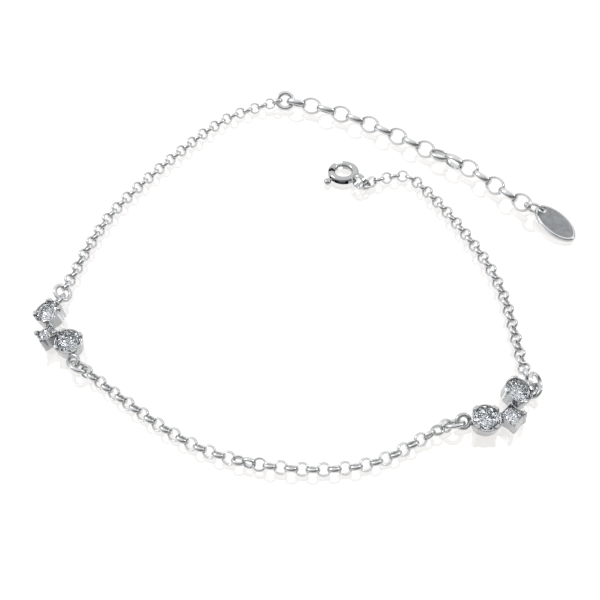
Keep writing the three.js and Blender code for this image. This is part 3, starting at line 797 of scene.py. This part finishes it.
def square_brilliant(radius):
    """A square stone: table, two rows of crown facets, and a mosaic of facets below."""
    points, faces = [], []
    per_side = SQUARE_CUT["per_side"]
    around = 4 * per_side

    def square(r):
        corners = [on_circle(radius * r, math.pi / 2 * i) for i in range(5)]
        outline = []
        for (x, y), (next_x, next_y) in zip(corners, corners[1:]):
            outline += [
                (x + (next_x - x) * k / per_side, y + (next_y - y) * k / per_side) for k in range(per_side)
            ]
        return outline

    def ring(outline, z):
        first = len(points)
        points.extend((x, y, radius * z) for x, y in outline)
        return first

    table_size, table_height = SQUARE_CUT["table"]
    step_size, step_height = SQUARE_CUT["step"]
    table = ring(square(table_size)[::per_side], table_height)
    middles = [on_circle(radius * step_size, math.pi / 2 * (i + 0.5)) for i in range(4)]
    step = ring(middles, step_height)
    upper = ring(square(1.0), 0.0)
    lower = ring(square(1.0), CUT["girdle"])
    faces.append(tuple(table + i for i in range(4)))
    for i in range(4):
        j, corner, after = (i + 1) % 4, upper + per_side * i, upper + (per_side * (i + 1)) % around
        faces.append((table + i, step + i, table + j))
        faces.append((table + i, corner, step + i))
        faces.append((table + j, step + i, after))
        side = [upper + (per_side * i + k) % around for k in range(per_side + 1)]
        faces.extend((step + i, a, b) for a, b in zip(side, side[1:]))
    girdle_band(faces, upper, lower, around)
    rows = [(square(r), radius * z) for r, z in SQUARE_CUT["rows"]]
    mosaic(points, faces, lower, rows, -radius * SQUARE_CUT["tip"])
    return points, faces


def stone_piece(cluster, cup):
    """A stone in its cup: clear above, mirror-like below, and a few lower facets painted near black as
    painted shade.
    """
    centre, rotation = cup_place(cluster, cup)
    spin = np.array(Matrix.Rotation(math.radians(cup["claw_at"]), 3, "Z"))
    if cup["square"]:
        points, faces = square_brilliant(cup["radius"] * STONE_FIT["square_share"])
    else:
        points, faces = round_brilliant(cup["radius"] - CUP["rim_wall"] - STONE_FIT["round_gap"])
    node = f"{cluster['name']}_{cup['part']}_stone"
    in_cup = placed(points, (0, 0, STONE_FIT["rise"]), spin)
    piece = mesh_object(node + "_cut", placed(in_cup, centre, rotation), faces)
    for material in (STONE, STONE_BACK, STONE_PAINTED_SHADE):
        piece.data.materials.append(material)
    up = Vector(rotation @ UP)
    for polygon in piece.data.polygons:
        # Painted shade: a fixed pattern picks which lower facets are painted near black.
        painted_shade = facet_offset(polygon.index, polygon.index % FACETS_DOWN_AND_PAINTED_SHADE["cycle"]) > FACETS_DOWN_AND_PAINTED_SHADE["above"]
        if polygon.normal.dot(up) < FACETS_DOWN_AND_PAINTED_SHADE["facing_down"]:
            polygon.material_index = 2 if painted_shade else 1
    finished(piece, node, "bracelet", STONE)


# ----------------------------------------------------------------------------------------------------
# Clasp
# ----------------------------------------------------------------------------------------------------

def swept(name, section, radius, start, end, steps):
    """A closed (out, up) section swept round part of a circle about the clasp's centre, with end caps."""
    points, faces, sides = [], [], len(section)
    for i in range(steps + 1):
        way = compass(start + (end - start) * i / steps)
        points += [way * (radius + out) + UP * up for out, up in section]
    for i in range(steps):
        for j in range(sides):
            k = (j + 1) % sides
            faces.append((i * sides + j, (i + 1) * sides + j, (i + 1) * sides + k, i * sides + k))
    faces.append(tuple(range(sides)))
    faces.append(tuple(range(steps * sides, (steps + 1) * sides))[::-1])
    return mesh_object(name, placed(points, CLASP["at"], np.eye(3)), faces)


def round_section(radius, sides, squareness=1.0):
    """A circle, or below a squareness of 1 one with a flatter top, sides and foot."""
    def stretched(share):
        return radius * math.copysign(abs(share) ** squareness, share)

    return [(stretched(math.cos(turn)), stretched(math.sin(turn))) for turn in turns(sides)]


def turned(name, profile, centre, rotation, columns):
    """A closed (r, z) profile turned about the local Z axis."""
    points = [(*on_circle(r, turn), z) for turn in turns(columns) for r, z in profile]
    return mesh_object(name, placed(points, centre, rotation), grid_faces(columns, len(profile)))


def ball(name, centre, radius, flat):
    """A ball whose height is a share of its width."""
    rows, columns = BALL_CELLS
    points, faces = [], []
    for i in range(1, rows):
        polar = math.pi * i / rows
        height = radius * flat * math.cos(polar)
        points += [(*on_circle(radius * math.sin(polar), turn), height) for turn in turns(columns)]
    top, bottom = len(points), len(points) + 1
    points += [(0, 0, radius * flat), (0, 0, -radius * flat)]
    for j in range(columns):
        k = (j + 1) % columns
        faces.append((top, j, k))
        faces.append((bottom, (rows - 2) * columns + k, (rows - 2) * columns + j))
        for i in range(rows - 2):
            faces.append((i * columns + j, (i + 1) * columns + j, (i + 1) * columns + k, i * columns + k))
    return mesh_object(name, placed(points, centre, np.eye(3)), faces)


def clasp_loop_profile():
    """The flat band of the end loop, with softened edges."""
    rim, wall, edge = CLASP_LOOP["outer"] / 2, CLASP_LOOP["wall"], CLASP_LOOP["band"] / 2
    return [
        (rim - wall + 0.05, -edge), (rim - 0.08, -edge), (rim, -edge + 0.1), (rim + 0.01, 0.0),
        (rim, edge - 0.1), (rim - 0.08, edge), (rim - wall + 0.05, edge), (rim - wall, edge - 0.06),
        (rim - wall, -edge + 0.06),
    ]


def clasp_ring():
    """The hollow ring with its opening, the bore for the bolt, the slot for the knob, and the hole on top."""
    major = CLASP["major"]
    skin = round_section(CLASP["tube"] * CLASP_TUBE["scale"], TUBE_SIDES, CLASP_TUBE["squareness"])
    tube = swept("clasp_tube", skin, major, CLASP_GAP[1], CLASP_GAP[0] + 360, SWEEP_STEPS["tube"])
    inside = round_section(CLASP["bore"], BORE_SIDES)
    bore = swept("clasp_bore", inside, major, *CLASP_BORE, SWEEP_STEPS["bore"])
    out, up = CLASP_SLOT["half_depth"], CLASP_SLOT["height"] / 2
    opening = [(-out, -up), (out, -up), (out, up), (-out, up)]
    reach = major + CLASP["tube"]
    slot = swept("clasp_slot", opening, reach, CLASP_SLOT["from"], CLASP_SLOT["to"], SWEEP_STEPS["slot"])
    hole_at = np.array(CLASP["at"]) + compass(CLASP_HOLE["at"]) * major
    above = hole_at + UP * CLASP_HOLE["height"]
    drill = bar("clasp_drill", hole_at, above, CLASP_HOLE["radius"], DRILL_SIDES)
    return combined("clasp_body_ring", [tube, bore, slot, drill], "DIFFERENCE")


def clasp_piece():
    centre = np.array(CLASP["at"])
    body = clasp_ring()
    at = centre + compass(CLASP_LOOP["at"]) * CLASP_LOOP["reach"]
    at[2] = CLASP_LOOP["z"]
    upright = leaned(90, CLASP_LOOP["turn"] + 90)
    loop = turned("clasp_loop", clasp_loop_profile(), at, upright, CLASP_LOOP_COLUMNS)
    on_ring = centre + compass(CLASP_LOOP["at"]) * (CLASP["major"] + CLASP["bore"])
    middle_of_wall = CLASP_LOOP["outer"] / 2 - CLASP_LOOP["wall"] / 2
    near_side = at - compass(CLASP_LOOP["turn"]) * middle_of_wall
    neck = bar("clasp_neck", on_ring, near_side, CLASP_LOOP["neck"])
    piece = combined("clasp_body_ring", [body, loop, neck], "UNION")
    smooth(piece, SHARP["clasp"])
    finished(piece, "clasp_body", "bracelet", CLASP_SILVER)


def trigger_piece():
    """The sprung bolt inside the ring, and its knob on a stem through the slot."""
    centre = np.array(CLASP["at"])
    rod = round_section(BOLT["radius"], BORE_SIDES)
    bolt = swept("trigger_bolt", rod, CLASP["major"], BOLT["from"], BOLT["to"], SWEEP_STEPS["bolt"])
    out = compass(KNOB["at"])
    stem = bar("trigger_stem", centre + out * CLASP["major"], centre + out * KNOB["reach"], KNOB["stem"])
    knob = ball("trigger_knob", centre + out * KNOB["reach"], KNOB["radius"], KNOB["flat"])
    piece = combined("clasp_trigger_bolt", [bolt, stem, knob], "UNION")
    smooth(piece, SHARP["bolt"])
    finished(piece, "clasp_trigger", "trigger", CLASP_SILVER)


# ----------------------------------------------------------------------------------------------------
# Tag
# ----------------------------------------------------------------------------------------------------

def tag_outline(inset):
    """The pointed oval with slightly blunt tips, moved in by inset."""
    half_length = TAG["length"] / 2 - inset * TAG_TIP_INSET
    half_width = TAG["width"] / 2 - inset
    points = []
    for turn in turns(TAG_COLUMNS):
        share = math.cos(turn)
        bow = max(0.0, 1 - share * share) ** TAG["bow"]
        points.append((share * half_length, math.copysign(half_width * bow, math.sin(turn))))
    return points


# How far in from the edge, and how high as a share of the thickness: a rounded rim round a flat face.
TAG_RIM_PROFILE = [
    (0.42, 0.0), (0.20, 0.03), (0.07, 0.16), (0.0, 0.38), (0.0, 0.62), (0.07, 0.84), (0.18, 0.97),
    (0.28, 1.0), (0.36, 0.985), (0.42, 0.955),
]


def tag_plate(at, rotation):
    """The plate, from the middle of its underside round the rim to the middle of its face."""
    rows = len(TAG_RIM_PROFILE)
    points = []
    for inset, share in TAG_RIM_PROFILE:
        points += [(x, y, share * TAG["thickness"]) for x, y in tag_outline(inset)]
    faces = strip_faces(rows, TAG_COLUMNS)
    faces.append(tuple(range(TAG_COLUMNS))[::-1])
    faces.append(tuple(range((rows - 1) * TAG_COLUMNS, rows * TAG_COLUMNS)))
    from_tip = np.array(points) - np.array([TAG["length"] / 2, 0, 0])
    return mesh_object("tag_plate", placed(from_tip, at, rotation), faces)


def tag_drill(at, rotation):
    """A drill that flares at both faces of the plate, so the hole has softened edges."""
    radius, up, hole = TAG_HOLE["radius"], TAG["thickness"], TAG_HOLE
    profile = [
        (radius + hole["flare"], up + hole["beyond"]), (radius, up - hole["land"]), (radius, hole["land"]),
        (radius + hole["flare"], -hole["beyond"]), (hole["core"], -hole["beyond"]),
        (hole["core"], up + hole["beyond"]),
    ]
    size = len(profile)
    low, high = size - 2, size - 1
    points = []
    for turn in turns(TAG_HOLE_COLUMNS):
        for r, z in profile:
            x, y = on_circle(r, turn)
            points.append((x - hole["from_centre"] - TAG["length"] / 2, y, z))
    faces = [f for f in grid_faces(TAG_HOLE_COLUMNS, size) if not all(v % size in (low, high) for v in f)]
    faces.append(tuple(i * size + high for i in range(TAG_HOLE_COLUMNS)))
    faces.append(tuple(i * size + low for i in range(TAG_HOLE_COLUMNS))[::-1])
    return mesh_object("tag_drill", placed(points, at, rotation), faces)


def tag_piece():
    lift = np.array(Matrix.Rotation(math.radians(TAG_LIFT["angle"]), 3, "Y"))
    turn = np.array(Matrix.Rotation(math.radians(TAG["turn"]), 3, "Z"))
    rotation = turn @ lift
    tip = compass(TAG["turn"]) * TAG["length"] / 2
    at = np.array([TAG["at"][0], TAG["at"][1], TAG_LIFT["rest"]]) + tip
    piece = combined("tag_plate", [tag_plate(at, rotation), tag_drill(at, rotation)], "DIFFERENCE")
    piece.data.materials.append(TAG_RIM)
    piece.data.materials.append(TAG_FACE)
    face_normal = Vector(rotation @ UP)
    for polygon in piece.data.polygons:
        level = abs(polygon.normal.dot(face_normal)) > TAG_FLAT["facing"]
        polygon.material_index = 1 if level and polygon.area > TAG_FLAT["area"] * MM * MM else 0
    smooth(piece, SHARP["tag"])
    finished(piece, "tag", "bracelet", TAG_RIM)


# ----------------------------------------------------------------------------------------------------
# The bracelet
# ----------------------------------------------------------------------------------------------------

for chain in CHAINS:
    chain_piece(chain)
for ring in RINGS:
    ring_piece(*ring)
for cluster in CLUSTERS:
    setting_piece(cluster)
    for cup in CUPS:
        stone_piece(cluster, cup)
clasp_piece()
trigger_piece()
tag_piece()


# ----------------------------------------------------------------------------------------------------
# Floor, light and camera
# ----------------------------------------------------------------------------------------------------

# Floor and lamps are in metres, the camera's place in millimetres of the solids' own layout. The tent's
# tones are (place, grey) stops: from facing away from its bright side to facing it, and from down to up.
FLOOR_HALF = 6.0
FLOOR_GLOW = 0.785
TENT_BRIGHT_WAY = (-0.25, 0.60, 0.75)
TENT_TONES = [(0.0, 0.26), (0.40, 0.22), (0.50, 0.30), (0.62, 0.85), (0.84, 1.15), (1.0, 1.2)]
HORIZON_TONES = [(0.0, 0.30), (0.10, 0.40), (0.16, 1.0), (1.0, 1.0)]
SOFTBOXES = [
    {"name": "key", "at": (-0.45, 0.10, 0.40), "size": (0.16, 0.30), "watts": 0.75},
    {"name": "edge", "at": (0.45, 0.05, 0.30), "size": (0.10, 0.24), "watts": 0.35},
]
CAMERA_AT = (0.0, -124.7, 136.07)
CAMERA_TILT = 47.3
CAMERA_LENS = 66.24
CAMERA_SENSOR = 36.0
CAMERA_NEAR = 0.005

floor_mesh = bpy.data.meshes.new("floor")
corners = [(-1, -1), (1, -1), (1, 1), (-1, 1)]
floor_mesh.from_pydata([(x * FLOOR_HALF, y * FLOOR_HALF, 0) for x, y in corners], [], [(0, 1, 2, 3)])
floor = bpy.data.objects.new("floor", floor_mesh)
bpy.context.scene.collection.objects.link(floor)
# A glossy white sheet that glows as if lit from below.
floor.data.materials.append(clouded(
    "white_sheet", 0.01, [(0.050, 0.049, 0.048), (0.055, 0.054, 0.053)], (0.01, 0.03),
    {"IOR": 2.6, "Emission Color": (1.0, 0.985, 0.965, 1), "Emission Strength": FLOOR_GLOW}))


def facing(tree, wanted):
    """How far a way into the tent agrees with a wanted one, from -1 to 1."""
    length = math.sqrt(sum(c * c for c in wanted))
    dot = tree.add("VectorMath", {1: [c / length for c in wanted]}, {0: tree.place})
    dot.operation = "DOT_PRODUCT"
    return dot.outputs["Value"]


def studio_world():
    """A tent that is bright above and behind, dim in front and below, and dark along the horizon."""
    world = bpy.data.worlds.new("tent")
    bpy.context.scene.world = world
    tree = Tree(world, "Background", "Generated")
    bright = tree.ranged(facing(tree, TENT_BRIGHT_WAY), 0, 1, from_low=-1, from_high=1)
    dome = tree.ramp(bright, [(at, (tone, tone, tone)) for at, tone in TENT_TONES])
    horizon = tree.ramp(facing(tree, UP), [(at, (tone, tone, tone)) for at, tone in HORIZON_TONES])
    product = tree.combine("VectorMath", "MULTIPLY", dome, horizon).outputs["Vector"]
    tree.fill(tree.surface, {"Strength": 1.0}, {"Color": product})


def softbox(name, at, size, watts):
    """A soft rectangular lamp that points at the middle of the bracelet."""
    light = bpy.data.lights.new(name, "AREA")
    light.shape = "RECTANGLE"
    light.size, light.size_y = size
    light.energy = watts
    box = bpy.data.objects.new(name, light)
    bpy.context.scene.collection.objects.link(box)
    box.location = at
    box.rotation_euler = (-Vector(at)).to_track_quat("-Z", "Y").to_euler()


studio_world()
for lamp in SOFTBOXES:
    softbox(**lamp)

camera_data = bpy.data.cameras.new("camera")
camera_data.lens = CAMERA_LENS
camera_data.sensor_width = CAMERA_SENSOR
camera_data.clip_start = CAMERA_NEAR
camera = bpy.data.objects.new("camera", camera_data)
bpy.context.scene.collection.objects.link(camera)
camera.location = Vector(to_row([CAMERA_AT])[0])
camera.rotation_euler = (math.radians(90 - CAMERA_TILT), 0, 0)
bpy.context.scene.camera = camera
bpy.context.scene.view_settings.view_transform = "Standard"
